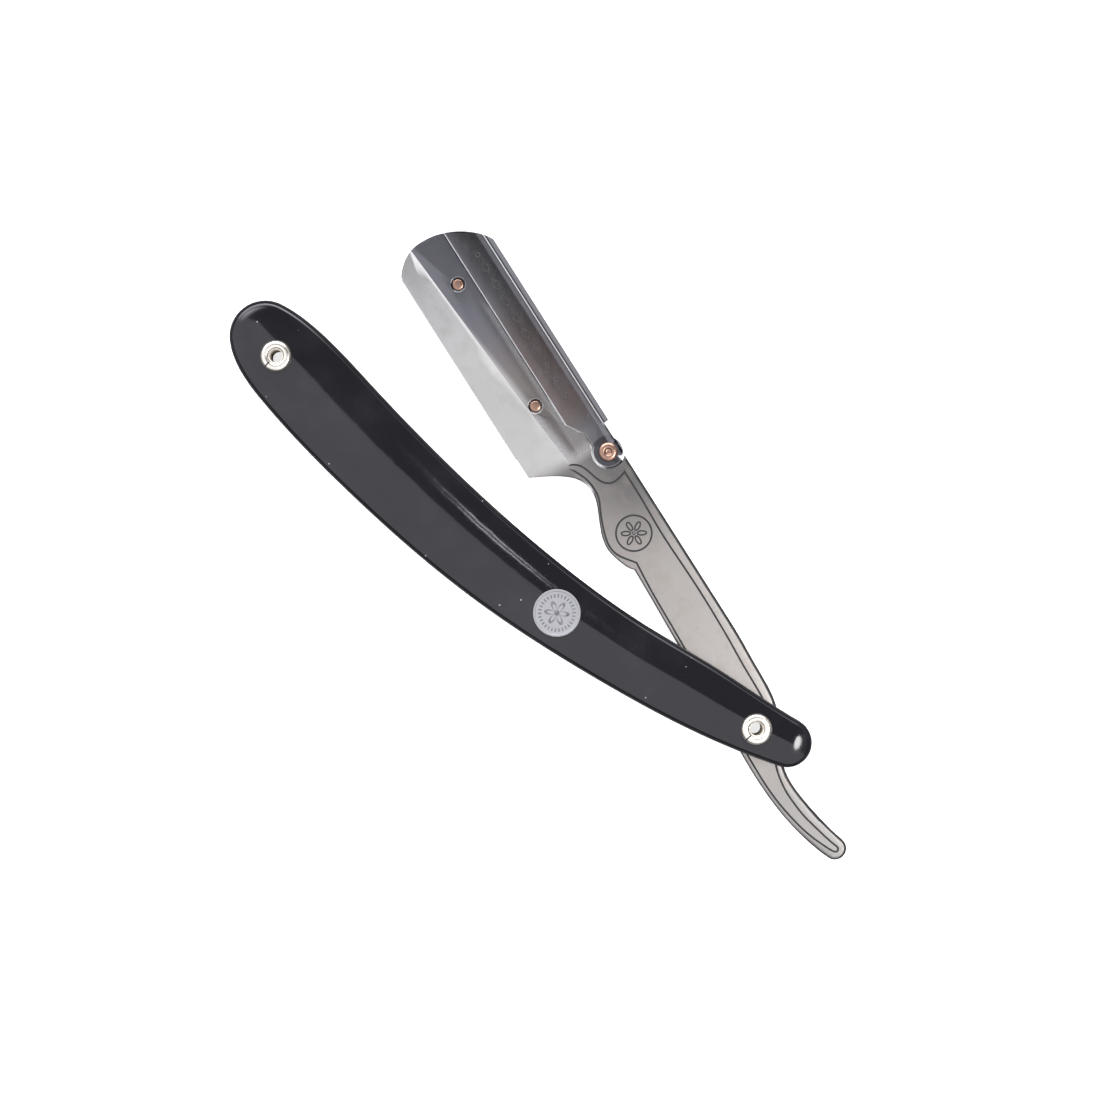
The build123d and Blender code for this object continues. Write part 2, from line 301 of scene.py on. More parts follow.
def edge_facts(mesh):
    """Each edge's middle in millimetres of the shut razor, fold in degrees, and steeper side's normal."""
    count = len(mesh.edges)
    ends = np.zeros(count * 2, np.int32)
    mesh.edges.foreach_get("vertices", ends)
    points = np.zeros(len(mesh.vertices) * 3, np.float32)
    mesh.vertices.foreach_get("co", points)
    points = points.reshape(-1, 3)
    middle = points[ends.reshape(-1, 2)].mean(1) / MM
    normals = np.zeros(len(mesh.polygons) * 3, np.float32)
    mesh.polygons.foreach_get("normal", normals)
    sizes = np.zeros(len(mesh.polygons), np.int32)
    mesh.polygons.foreach_get("loop_total", sizes)
    of_loop = np.repeat(np.arange(len(sizes)), sizes)
    edge_of_loop = np.zeros(len(mesh.loops), np.int32)
    mesh.loops.foreach_get("edge_index", edge_of_loop)
    order = np.argsort(edge_of_loop, kind="stable")
    first = np.searchsorted(edge_of_loop[order], np.arange(count))
    pair = normals.reshape(-1, 3)[of_loop[order[np.stack([first, first + 1])]]]
    fold = np.degrees(np.arccos(np.clip((pair[0] * pair[1]).sum(1), -1, 1)))
    side = np.where(np.abs(pair[:1, :, 2:]) < np.abs(pair[1:, :, 2:]), pair[:1], pair[1:])[0]
    c, s = math.cos(OPENING), math.sin(OPENING)
    turn = np.array([[c, s, 0], [-s, c, 0], [0, 0, 1]])
    return middle @ turn, fold, side @ turn


def ease_edges(made, width, weights, segments=4):
    """Rounds edges by width millimetres times each edge's weight."""
    layer = made.data.attributes.new("bevel_weight_edge", "FLOAT", "EDGE")
    layer.data.foreach_set("value", weights.astype(np.float32))
    way = made.modifiers.new("ease", "BEVEL")
    way.limit_method = "WEIGHT"
    way.width = width * MM
    way.segments = segments
    way.use_clamp_overlap = False
    way.miter_outer = "MITER_ARC"
    return settle(made)


def place(made, body, slot, *nodes):
    """The piece moves with a body and stands for these nodes, which are hidden. slot is not used."""
    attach(made, body)
    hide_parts(*nodes)
    return made


def middle_of(node):
    """Middle of a node's box, seen from above, in millimetres."""
    low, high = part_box(node)
    return (low.x + high.x) / 2 / MM, (low.y + high.y) / 2 / MM


def ramp(low, high, value):
    """0 below low, 1 above high, smooth between."""
    t = np.clip((value - low) / (high - low), 0, 1)
    return t * t * (3 - 2 * t)


# ---------------- finishes

class Term:
    """One output of a shader node. Sums, differences, products and quotients of terms add Math nodes."""

    def __init__(self, finish, socket):
        self.finish, self.socket = finish, socket

    def __add__(self, other):
        return self.finish.maths("ADD", self, other)

    def __radd__(self, other):
        return self.finish.maths("ADD", other, self)

    def __sub__(self, other):
        return self.finish.maths("SUBTRACT", self, other)

    def __rsub__(self, other):
        return self.finish.maths("SUBTRACT", other, self)

    def __mul__(self, other):
        return self.finish.maths("MULTIPLY", self, other)

    def __rmul__(self, other):
        return self.finish.maths("MULTIPLY", other, self)

    def __truediv__(self, other):
        return self.finish.maths("DIVIDE", self, other)

    def __rtruediv__(self, other):
        return self.finish.maths("DIVIDE", other, self)


class Finish:
    """A node tree being written: node() adds any node and returns one of its outputs."""

    def __init__(self, tree):
        self.tree = tree
        tree.nodes.clear()

    def node(self, kind, settings=None, values=None, out=0):
        """Adds a node, sets its settings first, then sets or links its inputs."""
        made = self.tree.nodes.new(kind)
        for key, value in (settings or {}).items():
            setattr(made, key, value)
        for key, value in (values or {}).items():
            if isinstance(value, Term):
                self.tree.links.new(value.socket, made.inputs[key])
            elif value is not None:
                made.inputs[key].default_value = value
        return Term(self, made.outputs[out]) if len(made.outputs) else made

    def maths(self, operation, *values):
        """One Math node."""
        return self.node("ShaderNodeMath", {"operation": operation}, dict(enumerate(values)))

    def between(self, low, high, value):
        """0 at low, 1 at high and a smooth step between. low may be the larger of the two."""
        return self.node("ShaderNodeMapRange", {"interpolation_type": "SMOOTHSTEP"},
                         {"Value": value, "From Min": low, "From Max": high, "To Min": 0.0, "To Max": 1.0})

    def mix(self, share, a, b):
        """Colour between a and b."""
        return self.node("ShaderNodeMix", {"data_type": "RGBA"}, {0: share, 6: a, 7: b}, 2)

    def place(self, turn=0.0, centre=(0, 0), stretch=(1, 1, 1)):
        """The piece's own coordinates, centred on a point in millimetres, turned and stretched."""
        own = self.node("ShaderNodeTexCoord", out=3)
        moved = self.node("ShaderNodeVectorMath", {"operation": "SUBTRACT"},
                          {0: own, 1: (centre[0] * MM, centre[1] * MM, 0)})
        spun = self.node("ShaderNodeMapping", {}, {"Vector": moved, "Rotation": (0, 0, turn)})
        return self.node("ShaderNodeVectorMath", {"operation": "MULTIPLY"}, {0: spun, 1: stretch})

    def parts(self, vector):
        """X, Y and Z of a vector."""
        split = self.tree.nodes.new("ShaderNodeSeparateXYZ")
        self.tree.links.new(vector.socket, split.inputs[0])
        return [Term(self, s) for s in split.outputs]

    def noise(self, vector, scale, detail=4.0, rough=0.55):
        """Cloudy value with scale features to the metre."""
        return self.node("ShaderNodeTexNoise", {"noise_dimensions": "3D"},
                         {"Vector": vector, "Scale": scale, "Detail": detail, "Roughness": rough})

    def bump(self, height, distance):
        """Normal tilted by a height from 0 to 1 that stands for distance metres."""
        return self.node("ShaderNodeBump", {}, {"Height": height, "Distance": distance, "Strength": 1.0})

    def surface(self, values):
        """Principled surface to the material's output."""
        shader = self.node("ShaderNodeBsdfPrincipled", {}, values)
        self.node("ShaderNodeOutputMaterial", {}, {"Surface": shader})


def rgb(colour, share=1.0):
    """Colour property as a shader colour, scaled."""
    return tuple(c * share for c in colour[:3]) + (1.0,)


def material(name, write, *values):
    """Named material, made once, whose nodes are written by a function that gets these values."""
    found = bpy.data.materials.get(name)
    if found is None:
        found = bpy.data.materials.new(name)
        found.use_nodes = True
        write(Finish(found.node_tree), *values)
    return found


def glossy_plastic(f, colour):
    """Polished black plastic: slight waves, fine wipe marks, a few specks of dust, and duller ends."""
    here = f.place()
    wipe = f.noise(f.place(0.35, stretch=(60, 900, 60)), 1.0, 5.0, 0.6)
    cloud = f.noise(here, 90.0, 3.0)
    cells = f.node("ShaderNodeTexVoronoi", {"feature": "F1"}, {"Vector": here, "Scale": 380.0})
    near = Term(f, cells.socket)
    tint = Term(f, cells.socket.node.outputs["Color"])
    chance = f.node("ShaderNodeSeparateColor", {}, {0: tint})
    speck = f.between(0.075, 0.045, near) * f.between(0.68, 0.72, chance)
    haze = f.between(0.45, 0.8, cloud) * 0.02 + speck
    base = f.mix(haze, rgb(colour), rgb((0.30, 0.30, 0.32)))
    wave = f.bump(f.noise(here, 160.0, 2.0), 0.000012)
    along = f.parts(here)[0] / MM
    worn = f.between(6.0, 9.0, along) + f.between(-128.0, -131.0, along)
    rough = 0.03 + wipe * 0.04 + speck * 0.4 + worn * 0.09
    f.surface({"Base Color": base, "Roughness": rough, "Specular IOR Level": 0.5, "IOR": 1.5, "Normal": wave})


def ring_masks(f, node, x, y, radii, turn=OPENING):
    """Bands round the middle of a node, one for each pair of radii in millimetres.

    turn is how far x and y are turned from the frame's own axes."""
    px, py = middle_of(node)
    c, s = math.cos(turn), math.sin(turn)
    dx = x - (c * px - s * py)
    dy = y - (s * px + c * py)
    reach = f.maths("SQRT", dx * dx + dy * dy)
    soft = 0.05
    return [f.between(a - soft, a + soft, reach) * f.between(b + soft, b - soft, reach) for a, b in radii]


def on_shut_razor(f):
    """Place on the shut razor, and there x, y and the distance from its middle plane in millimetres."""
    shut = f.place(OPENING)
    x, y, z = f.parts(shut)
    return shut, x / MM, y / MM, f.maths("ABSOLUTE", z) / MM


def leaf_tone(f, x, y, cloud):
    """Polished leaf: pale, with a soft band of painted shade beside the flange that widens to the whole toe.
    """
    reach = (x + 66.0) * -0.13 + 1.6
    band = f.between(1.3, -1.1, (cloud - 0.5) * 0.4 - y - reach) * f.between(-62.0, -68.0, x)
    band = band * (1 - f.between(-1.1, -0.2, y) * 0.35)
    shadow = f.maths("MAXIMUM", band, f.between(-93.0, -104.0, x))
    warm, cool, pale = rgb((0.19, 0.172, 0.163)), rgb((0.145, 0.145, 0.16)), rgb((0.49, 0.485, 0.475))
    return f.mix(shadow, pale, f.mix(f.between(-82.0, -102.0, x), warm, cool))


def tang_tone(f, x, y, depth, colour):
    """Satin tang: darker at the neck and the tail, with painted dark reflections on the rims where depth
    leaves the face.
    """
    neck = f.between(-36.0, -58.0, x) * (f.between(-4.0, 4.0, y) * 0.5 + 0.5)
    satin = f.mix(neck * 0.9, rgb(colour), rgb((0.098, 0.096, 0.094)))
    satin = f.mix(f.between(-4.0, 16.0, x) * 0.6, satin, rgb((0.17, 0.166, 0.162)))
    # painted dark reflection on the eased rims, strongest along the spine and the tail
    narrow = f.between(1.97, 1.80, depth)
    wide = f.between(1.99, 1.94, depth) * f.between(0.0, 0.2, y)
    rim = f.maths("MAXIMUM", narrow, wide) * f.between(-66.0, -62.0, x)
    side = f.between(0.0, 0.2, y / (x * 0.02 + 3.0)) * 0.5 + f.between(4.0, 14.0, x) * 0.5 + 0.4
    return f.mix(rim * side, satin, rgb((0.09, 0.09, 0.09)))


def arm_steel(f, colour):
    """Steel of the arm: satin tang with fine grinding lines, satin bevel, and a polished leaf between."""
    shut, x, y, depth = on_shut_razor(f)
    lines = f.noise(f.place(OPENING, stretch=(240, 4200, 4200)), 1.0, 3.0, 0.6)
    cloud = f.noise(shut, 260.0, 4.0)
    stain = f.noise(shut, 620.0, 5.0)
    head = f.between(-63.5, -67.5, x)
    bevel_top = (x + 115.0) * (3.2 / 48.0) - 6.7
    above = f.between(-0.05, 0.05, y - bevel_top)
    polish = head * above
    bevel = f.mix(f.between(-78.0, -112.0, x), rgb((0.51, 0.505, 0.48)), rgb((0.68, 0.675, 0.655)))
    bare = f.mix(head, tang_tone(f, x, y, depth, colour), bevel)
    base = f.mix(polish, bare, leaf_tone(f, x, y, cloud))
    spotted = f.between(0.58, 0.72, stain) * 0.25 + f.between(0.46, 0.7, cloud) * 0.3
    base = f.mix(spotted * (1 - head * 0.6), base, rgb((0.24, 0.20, 0.18)))
    # painted highlight on the edge of the pocket that the flange's heel lies in
    lip = f.between(1.985, 1.95, depth) * f.between(-80.0, -76.0, x) * f.between(-57.0, -58.5, x)
    lip = lip * f.between(-3.0, -2.0, y) * f.between(3.0, 2.0, y) * above
    base = f.mix(lip, base, rgb((0.78, 0.78, 0.77)))
    for pin in ("locating_pin_toe", "locating_pin_heel"):
        # painted shade in the recess round each pin, and a faint painted highlight on the recess's rim
        recess_shade, light = ring_masks(f, pin, x, y, ((0.9, 1.42), (1.42, 1.62)))
        base = f.mix(recess_shade * 0.9, base, rgb((0.02, 0.02, 0.02)))
        base = f.mix(light * 0.2, base, rgb((0.75, 0.74, 0.73)))
    rough = 0.36 + (lines - 0.5) * 0.16 + (cloud - 0.5) * 0.08
    rough = rough * (1 - polish) + (0.17 + cloud * 0.05) * polish + lip * 0.3
    height = lines * (1 - f.between(-60.0, -64.0, x) * above * 0.95)
    f.surface({"Base Color": base, "Metallic": 0.92 - lip * 0.7, "Roughness": rough,
               "Normal": f.bump(height, 0.000006)})


def blackened(f, colour):
    """Dark, matt floor of the engraved lines."""
    grain = f.noise(f.place(), 3000.0, 3.0)
    f.surface({"Base Color": f.mix(grain, rgb(colour), rgb((0.045, 0.045, 0.045))), "Metallic": 0.2,
               "Roughness": 0.6 + grain * 0.15})


def mirror_steel(f, colour):
    """Polished sheet of the cover: faint wipe marks, and painted light: a warm reflection across the middle,
    shade round the rivet, highlights on the edges and bands of reflection along the fold.
    """
    shut, x, y, depth = on_shut_razor(f)
    smear = f.noise(f.place(OPENING + 0.5, stretch=(120, 900, 300)), 1.0, 4.0, 0.6)
    cloud = f.noise(shut, 180.0, 4.0)
    # painted warm reflection across the middle of the flange
    warm = f.between(-106.0, -86.0, x) * f.between(-68.0, -74.0, x)
    base = f.mix(warm * 0.8, rgb(colour), rgb((0.165, 0.128, 0.117)))
    base = f.mix(f.between(0.45, 0.8, cloud) * 0.25, base, rgb((0.25, 0.25, 0.27)))
    # painted shade round the cover's rivet
    ear_shade = ring_masks(f, "cover_rivet", x, y, ((0.0, 3.3),))[0]
    base = f.mix(ear_shade * 0.75, base, rgb((0.04, 0.04, 0.045)))
    # bands of painted reflection along the fold, from the flange outwards: flank, bright line, dark line,
    # grey fold
    flank = f.between(5.7, 6.1, y) * f.between(6.95, 6.85, y)
    line = f.between(6.92, 6.99, y) * f.between(7.22, 7.13, y) * f.between(-67.0, -69.0, x)
    dark = f.between(7.22, 7.32, y) * f.between(7.5, 7.4, y)
    fold = f.between(7.4, 7.5, y)
    # painted highlight along the flange's free edge, and on the bright line by the fold: pale, matt and less
    # metallic
    lip = f.between(HALF_ARM - 0.01, HALF_ARM - 0.05, depth) * f.between(6.0, 5.6, y)
    rubbed = f.maths("MAXIMUM", line * 0.65, lip)
    base = f.mix(fold * 0.9, base, rgb((0.26, 0.26, 0.275)))
    base = f.mix(flank * 0.6, base, rgb((0.24, 0.24, 0.26)))
    base = f.mix(dark * 0.6, base, rgb((0.04, 0.04, 0.045)))
    base = f.mix(rubbed, base, rgb((0.66, 0.66, 0.67)))
    metal = 1 - rubbed * 0.8 - fold * 0.5 - flank * 0.3
    rough = 0.07 + smear * 0.07 + rubbed * 0.4 + fold * 0.25
    f.surface({"Base Color": base, "Metallic": metal, "Roughness": rough, "Normal": f.bump(smear, 0.000003)})


def worn_plating(f, here, colour, dark):
    """Colour of rubbed plating with dull patches, the patches themselves, and fine pits."""
    cloud = f.noise(here, 900.0, 5.0, 0.6)
    pits = f.noise(here, 4200.0, 3.0)
    base = f.mix(f.between(0.48, 0.72, cloud) * 0.6, rgb(colour), rgb(colour, dark))
    return base, cloud, f.bump(pits, 0.000008)


def eyelet_metal(f, colour):
    """Worn plating, with painted light inside the bore of each hollow rivet: pale cream, matt and hardly
    metallic.
    """
    here = f.place()
    base, cloud, normal = worn_plating(f, here, colour, 0.72)
    x, y, _ = f.parts(here)
    throat_light = 0
    for node in ("pivot_eyelet", "end_eyelet"):
        throat_light = ring_masks(f, node, x / MM, y / MM, ((-1.0, 1.5),), 0.0)[0] + throat_light
    # painted light: pale cream and matt inside the bore
    base = f.mix(throat_light, base, rgb((0.86, 0.82, 0.74)))
    rough = 0.16 + cloud * 0.14 + throat_light * 0.3
    f.surface({"Base Color": base, "Metallic": 0.95 - throat_light * 0.9, "Roughness": rough, "Normal": normal})


def plated(f, colour, rough, dark):
    """Small plated or bare metal part: rubbed highlights, dull patches and fine pits."""
    base, cloud, normal = worn_plating(f, f.place(), colour, dark)
    f.surface({"Base Color": base, "Metallic": 0.95, "Roughness": rough + cloud * 0.14, "Normal": normal})


def badge_metal(f, colour):
    """Pale matt disc with a printed ring of ticks round a plain six-leaved flower."""
    x, y, z = f.parts(f.place(0.0, middle_of("badge")))
    x = x / MM
    y = y / MM
    reach = f.maths("SQRT", x * x + y * y)
    angle = f.maths("ARCTAN2", y, x)
    ticks = f.between(0.25, 0.4, f.maths("SINE", angle * 30.0))
    ring = f.between(3.05, 3.13, reach) * f.between(3.83, 3.75, reach)
    petal = f.maths("ABSOLUTE", f.maths("SINE", angle * 3.0)) * 2.25
    edge = f.maths("ABSOLUTE", reach - petal)
    flower = f.between(0.36, 0.28, edge) * f.between(2.6, 2.5, reach)
    core = f.between(0.42, 0.34, f.maths("ABSOLUTE", reach - 0.15))
    ink = f.maths("MAXIMUM", f.maths("MAXIMUM", ring * ticks, flower), core)
    front = f.between(SCALE_TOP - 0.1, SCALE_TOP, z / MM)
    grain = f.noise(f.place(), 2600.0, 4.0)
    worn = f.between(0.35, 0.6, f.noise(f.place(), 1500.0, 3.0)) * 0.35 + 0.6
    base = f.mix(ink * front * worn, f.mix(grain * 0.4, rgb(colour), rgb(colour, 0.8)),
                 rgb((0.10, 0.10, 0.11)))
    f.surface({"Base Color": base, "Metallic": 0.35, "Roughness": 0.42 + grain * 0.15,
               "Normal": f.bump(grain, 0.000005)})


def floor_finish(f, colour):
    """Plain pale floor, bright to the camera and duller to the other rays, so its shadows stay soft."""
    grain = f.noise(f.place(), 300.0, 3.0)
    seen = f.node("ShaderNodeLightPath")
    base = f.mix(seen, rgb((0.30, 0.30, 0.30)), f.mix(grain * 0.1, rgb(colour), rgb(colour, 0.98)))
    glow = f.mix(seen, rgb((0, 0, 0)), rgb(colour, 0.85))
    f.surface({"Base Color": base, "Roughness": 0.9, "Specular IOR Level": 0.0,
               "Emission Color": glow, "Emission Strength": 1.0})


# ---------------- sizes and colours

def length(name, description, value):
    """Property for a length, which defaults to value metres."""
    return FloatProperty(name=name, description=description, default=value, unit="LENGTH")


def tint(name, description, *value):
    """Property for a colour."""
    return FloatVectorProperty(name=name, description=description, default=value, subtype="COLOR",
                               min=0, max=1)


class RazorSizes(bpy.types.PropertyGroup):
    scale_round: length("Scale rim", "Rounding of a scale's outer rim", 1.35 * MM)
    scale_crown: length("Scale crown", "Rise of a scale's face from rim to middle", 0.42 * MM)
    groove_radius: length("Groove", "Half width of the engraved lines", 0.2 * MM)
    spine_ease: length("Spine easing", "Rounding along the spine of the tang", 0.75 * MM)
    seam_width: length("Eyelet seam", "Split in an eyelet's rolled rim", 0.28 * MM)
    camera_height: length("Camera height", "Camera above the handle's face", 0.75)
    view_width: length("View width", "Width of the view at the handle's face", 0.2187)
    view_turn: FloatProperty(name="View turn", description="Turn of the view about the upright",
                             default=math.radians(37.83), subtype="ANGLE")
    round_steps: IntProperty(name="Round steps", description="Facets round a turned part", default=96, min=24)


class RazorColours(bpy.types.PropertyGroup):
    plastic: tint("Scales", "Plastic of the scales", 0.0085, 0.0083, 0.0105)
    steel: tint("Arm", "Satin steel of the arm", 0.30, 0.283, 0.266)
    sheet: tint("Cover", "Polished sheet of the cover", 0.158, 0.158, 0.163)
    groove: tint("Grooves", "Floor of the engraved lines", 0.015, 0.015, 0.015)
    copper: tint("Copper", "Rivet and pins", 0.34, 0.21, 0.16)
    nickel: tint("Eyelets", "Plating of the eyelets", 0.80, 0.76, 0.68)
    brass: tint("Washers", "Washers beside the arm", 0.72, 0.55, 0.28)
    badge: tint("Badge", "Disc on the front scale", 0.31, 0.31, 0.318)
    blade: tint("Blade", "Half blade", 0.62, 0.63, 0.64)
    floor: tint("Floor", "Floor under the razor", 0.90, 0.90, 0.90)


# ---------------- the pieces

def outline_of_scale(span):
    """Closed outline of a scale and, beside each point, the middle of the scale there, in millimetres."""
    def on_cap(cx, cy, radius, angle):
        return cx + radius * math.cos(math.radians(angle)), cy + radius * math.sin(math.radians(angle))

    def heading(angle):
        return -math.sin(math.radians(angle)), math.cos(math.radians(angle))

    pivot, far = (6.6, 1.65, 5.0), (-span - 4.2, 1.8, 7.25)
    along = 230
    upper = [on_cap(*pivot, 98.0), (-0.11 * span, 4.85), (-0.24 * span, 2.95), (-0.41 * span, 2.1),
             (-0.64 * span, 3.75), (-0.86 * span, 7.45), (-0.975 * span, 9.35), on_cap(*far, 101.0)]
    lower = [on_cap(*far, 226.0), (-0.967 * span, -9.05), (-0.77 * span, -12.65), (-0.51 * span, -14.25),
             (-0.25 * span, -11.65), (-0.08 * span, -8.15), on_cap(*pivot, -70.5)]
    upper = smooth_line(upper, count=along, start=heading(98.0), end=heading(101.0))
    lower = smooth_line(lower, count=along, start=heading(226.0), end=heading(-70.5))
    middle = (upper + lower[::-1]) / 2
    far_cap = arc(far[:2], far[2], 101.0, 226.0, 60)[1:-1]
    pivot_cap = arc(pivot[:2], pivot[2], -70.5, 98.0, 60)[1:-1]
    outline = np.concatenate([upper, far_cap, lower, pivot_cap])
    centre = np.concatenate([middle, np.repeat(middle[-1:], len(far_cap), 0), middle[::-1],
                             np.repeat(middle[:1], len(pivot_cap), 0)])
    return outline, centre


def scale_skin(sizes, span, side):
    """Scale as rows carried round its outline.

    A row is the outline moved inwards by r (1 - cos a) at height r sin a round the rim, and then moved
    by a share t towards the middle line at height crown (1 - (1 - t)^2). It starts a hair inside the
    outline, so that it stays in its measured box."""
    outline, centre = outline_of_scale(span)
    step = np.roll(outline, -1, 0) - np.roll(outline, 1, 0)
    step /= np.linalg.norm(step, axis=1, keepdims=True)
    inward = np.stack([-step[:, 1], step[:, 0]], -1)
    hair, corner, rolled = 0.03, 0.3, 84
    outline = outline + inward * hair
    radius = sizes.scale_round / MM
    crown = sizes.scale_crown / MM
    shoulder = SCALE_TOP - crown - radius * math.sin(math.radians(rolled))
    rows = [(centre, SLOT_HALF), (outline + inward * corner, SLOT_HALF),
            (outline + inward * 0.3 * corner, SLOT_HALF + 0.3 * corner),
            (outline, SLOT_HALF + corner), (outline, shoulder)]
    for angle in np.radians(np.linspace(0, rolled, 11)[1:]):
        rows.append((outline + inward * radius * (1 - math.cos(angle)), shoulder + radius * math.sin(angle)))
    edge, top = rows[-1]
    for share in np.linspace(0, 1, 13)[1:]:
        rows.append((edge + (centre - edge) * share, top + crown * (1 - (1 - share) ** 2)))
    grid = np.stack([np.concatenate([p, np.full((len(p), 1), side * z)], -1) for p, z in rows], 1)
    return Skin().grid(grid, around=True)


def tube(x, y, radius, low, high, steps=72):
    """Closed round tool for cutting a hole."""
    return turned([(0, low), (radius, low), (radius, high), (0, high)], (x, y), steps, closed=False)


def chosen(context):
    """The sizes and colours set in the scene."""
    return context.scene.razor_sizes, context.scene.razor_colours


class RAZOR_OT_scales(bpy.types.Operator):
    """Two polished scales of the handle, with holes for the eyelets and a seat for the badge"""
    bl_idname = "razor.scales"
    bl_label = "Scales"

    def execute(self, context):
        sizes, colours = chosen(context)
        plastic = material("glossy_black_plastic", glossy_plastic, colours.plastic)
        span = -middle_of("end_eyelet")[0]
        for name, node, side in (("scale_front", "front_scale", 1), ("scale_back", "back_scale", -1)):
            made = scale_skin(sizes, span, side).make(name, plastic)
            for x in (0.0, -span):
                cut(made, tube(x, 0, EYELET_HOLE, -PAST, PAST).make("hole", plastic))
            if side > 0:
                seat = tube(*middle_of("badge"), 4.8, BADGE_SEAT, PAST, 96)
                cut(made, seat.make("seat", plastic))
            shade(made, 30)
            place(made, "handle", "scale_black", node)
        return {"FINISHED"}


class RAZOR_OT_badge(bpy.types.Operator):
    """Metal disc in the front scale, with a raised rim round a dished face"""
    bl_idname = "razor.badge"
    bl_label = "Badge"

    def execute(self, context):
        sizes, colours = chosen(context)
        low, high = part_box("badge")
        base, top, radius = low.z / MM, high.z / MM, (high.x - low.x) / 2 / MM
        side = [(0, base), (radius - 0.02, base), (radius, base + 0.02)]
        ease = 0.16
        rim = arc((radius - ease, top - ease), ease, 0, 90, 6).tolist()
        dish = [(radius - 0.32, top), (radius - 0.42, top - 0.03), (radius - 0.5, top - 0.10),
                (radius - 0.6, top - 0.12), (radius * 0.5, top - 0.10), (0, top - 0.09)]
        disc = turned(side + rim + dish, middle_of("badge"), sizes.round_steps, closed=False)
        made = disc.make("badge_disc", material("printed_badge", badge_metal, colours.badge))
        place(shade(made, 40), "handle", "badge_metal", "badge")
        return {"FINISHED"}


def seam_tool(centre, half, top):
    """Box that cuts the split of an eyelet's rim: a section carried outwards between two radii."""
    section = np.array([(-half, top - 1.3), (half, top - 1.3), (half, top + 1), (-half, top + 1)])
    way = math.radians(-97.0)
    reach = np.array([1.75, 3.6])
    seam = np.stack([
        centre[0] + reach[:, None] * math.cos(way) - section[:, 0] * math.sin(way),
        centre[1] + reach[:, None] * math.sin(way) + section[:, 0] * math.cos(way),
        np.broadcast_to(section[:, 1], (2, 4))], -1)
    near = seam[:1].mean(1, keepdims=True).repeat(4, 1)
    far = seam[1:].mean(1, keepdims=True).repeat(4, 1)
    return Skin().grid(np.concatenate([near, seam, far]), across=True)


class RAZOR_OT_eyelets(bpy.types.Operator):
    """Two hollow rivets with a rolled and split rim in front, and the rings they are spread over behind"""
    bl_idname = "razor.eyelets"
    bl_label = "Eyelets"

    def execute(self, context):
        sizes, colours = chosen(context)
        nickel = material("worn_nickel", eyelet_metal, colours.nickel)
        for place_name, node in (("pivot", "pivot_eyelet"), ("end", "end_eyelet")):
            low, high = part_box(node)
            centre = middle_of(node)
            top, foot = high.z / MM, low.z / MM + 0.002
            roll = smooth_line([(EYELET_BORE, top - 0.95), (1.33, top - 0.6), (1.48, top - 0.3),
                                (1.75, top - 0.09), (2.1, top - 0.005), (2.5, top - 0.04),
                                (2.86, top - 0.18), (3.08, top - 0.42), (3.148, top - 0.72)],
                               count=30, start=(0, 1), end=(0, -1))
            barrel = [(3.12, top - 0.98), (2.95, top - 1.02), (EYELET_HOLE, top - 1.02),
                      (EYELET_HOLE, foot + 0.2), (1.98, foot + 0.2), (2.05, foot + 0.13),
                      (2.02, foot + 0.03), (1.9, foot), (1.4, foot), (EYELET_BORE, foot + 0.08)]
            made = turned(roll.tolist() + barrel, centre, sizes.round_steps)
            made = made.make(f"eyelet_{place_name}", nickel)
            cut(made, seam_tool(centre, sizes.seam_width / MM / 2, top).make("seam", nickel))
            place(shade(made, 40), "handle", "nickel", node)
            inner, outer, base = EYELET_HOLE + 0.005, 3.15, -SCALE_TOP + 0.3
            lip = eased([(inner, base), (outer, base), (outer, -5.16), (2.8, RING_FOOT),
                         (inner, RING_FOOT)], 0.12)
            ring = turned(lip, centre, sizes.round_steps).make(f"ring_{place_name}", nickel)
            place(shade(ring, 40), "handle", "nickel", f"{node}_ring")
        return {"FINISHED"}


class RAZOR_OT_spacers(bpy.types.Operator):
    """Washers each side of the arm at the pivot, and the tube that keeps the scales apart at the other end"""
    bl_idname = "razor.spacers"
    bl_label = "Washers and spacer"

    def execute(self, context):
        sizes, colours = chosen(context)
        brass = material("rubbed_brass", plated, colours.brass, 0.28, 0.6)
        grey = material("dull_spacer", plated, colours.nickel, 0.36, 0.7)
        rings = (("washer_front", "pivot_washer_front", 1.65, 3.6, brass, "washer_brass"),
                 ("washer_back", "pivot_washer_back", 1.65, 3.6, brass, "washer_brass"),
                 ("spacer_end", "end_spacer", EYELET_HOLE, 2.6, grey, "spacer_metal"))
        for name, node, inner, outer, finish, slot in rings:
            low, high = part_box(node)
            a, b = low.z / MM, high.z / MM
            section = eased([(inner, a), (outer, a), (outer, b), (inner, b)], 0.08)
            made = turned(section, middle_of(node), sizes.round_steps).make(name, finish)
            place(shade(made, 40), "handle", slot, node)
        return {"FINISHED"}


